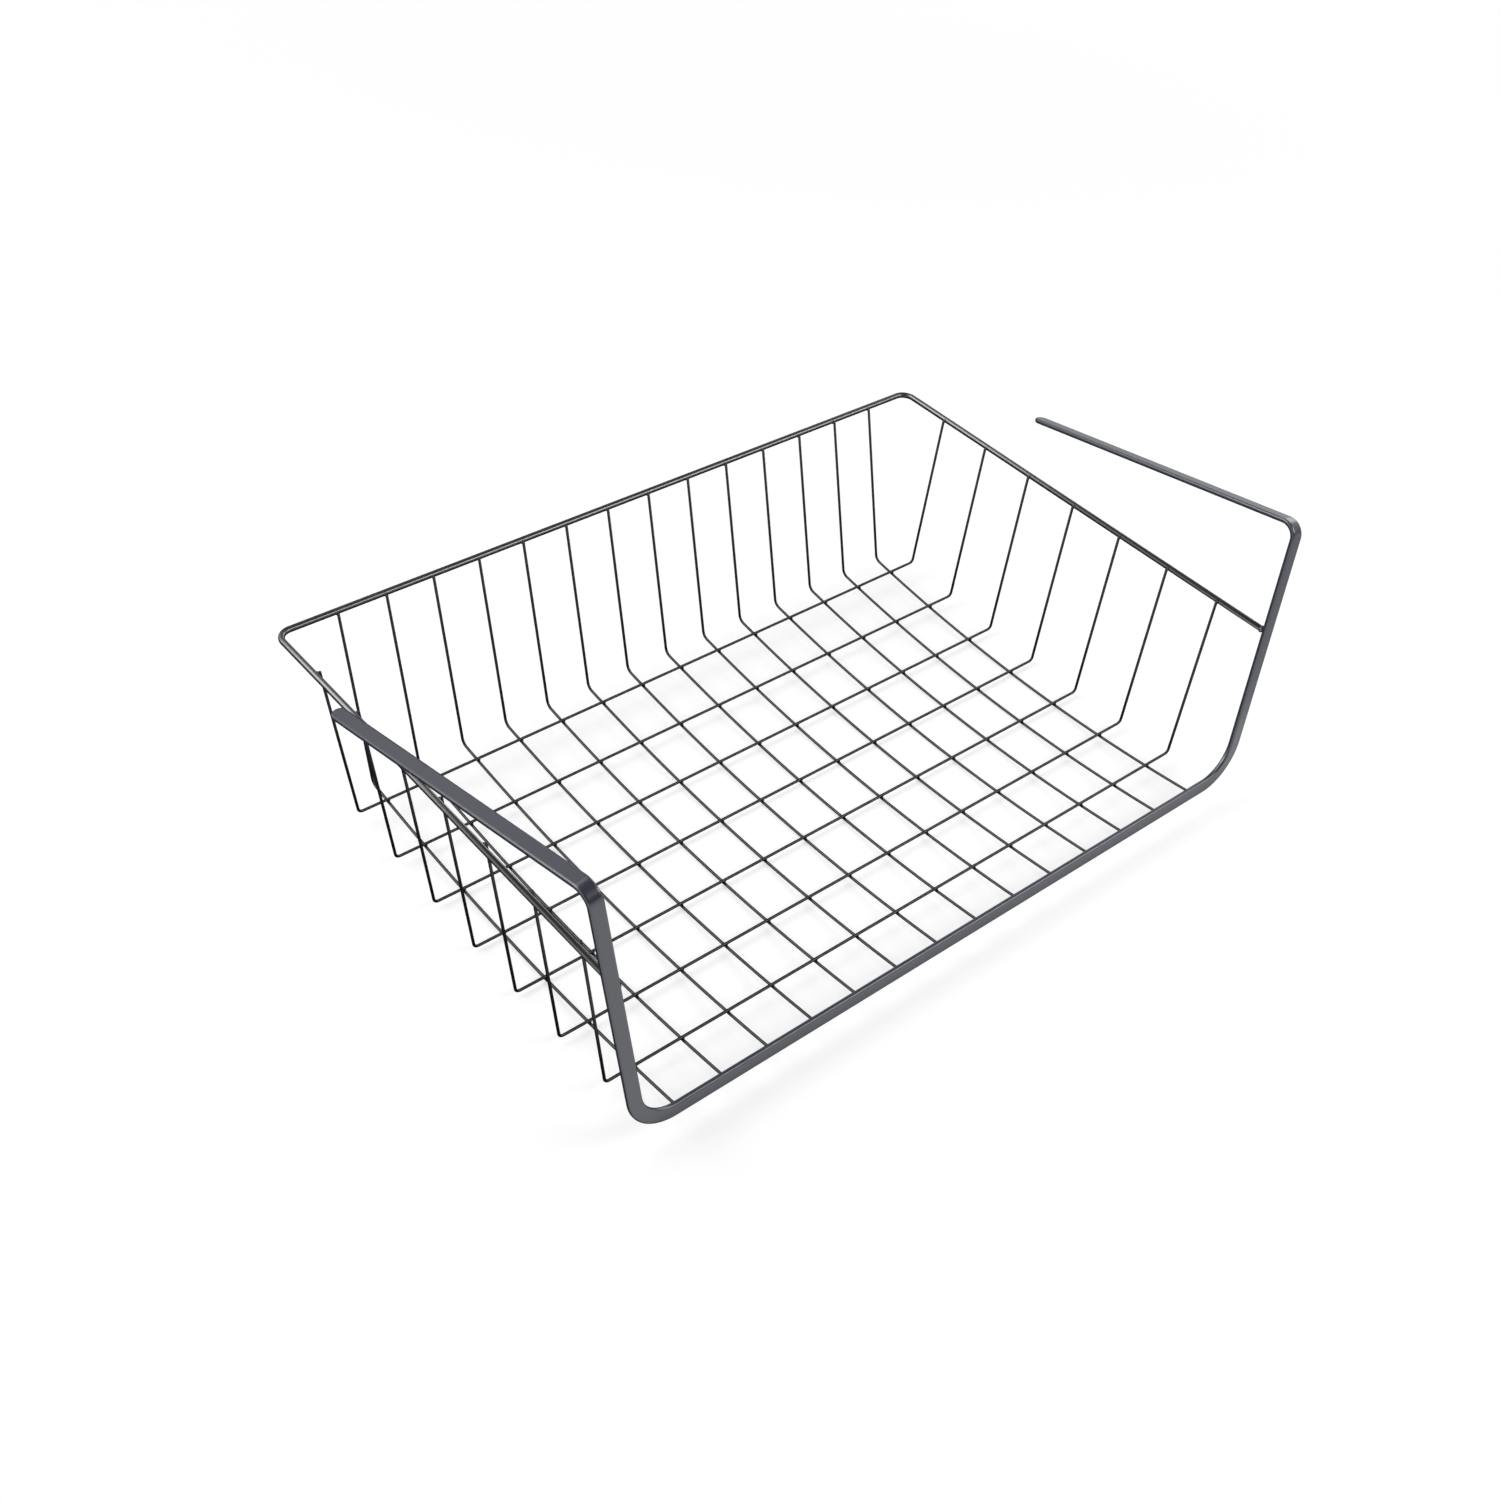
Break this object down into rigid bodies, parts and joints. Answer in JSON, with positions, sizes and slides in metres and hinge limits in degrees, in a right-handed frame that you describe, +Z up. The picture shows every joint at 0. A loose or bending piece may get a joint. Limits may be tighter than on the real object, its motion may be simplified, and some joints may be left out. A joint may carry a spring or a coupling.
{
  "type": "under-shelf wire basket",
  "caption": "Open-front wire basket with a flat strip frame whose two arms slide over a shelf board, so that the basket hangs below it.",
  "frame": {"origin": "below the middle of the basket's outer size, at the height of the lowest point of its floor", "axes": "+X to the right along the front rail, +Y from the open front towards the back wall, +Z up towards the arms"},
  "size_m": [0.4238, 0.2614, 0.148],
  "materials": {
    "frame_grey": "satin powder coat, dark grey",
    "rim_grey": "satin powder coat, near black",
    "grid_grey": "satin powder coat, near black"
  },
  "bodies": {
    "root": {"front_frame": "frame_grey", "rim_wire": "rim_grey", "long_wire_01": "grid_grey", "long_wire_02": "grid_grey", "long_wire_03": "grid_grey", "long_wire_04": "grid_grey", "long_wire_05": "grid_grey", "long_wire_06": "grid_grey", "long_wire_07": "grid_grey", "long_wire_08": "grid_grey", "long_wire_09": "grid_grey", "long_wire_10": "grid_grey", "long_wire_11": "grid_grey", "long_wire_12": "grid_grey", "long_wire_13": "grid_grey", "long_wire_14": "grid_grey", "cross_wire_1": "grid_grey", "cross_wire_2": "grid_grey", "cross_wire_3": "grid_grey", "cross_wire_4": "grid_grey", "cross_wire_5": "grid_grey", "cross_wire_6": "grid_grey", "cross_wire_7": "grid_grey"}
  },
  "joints": []
}
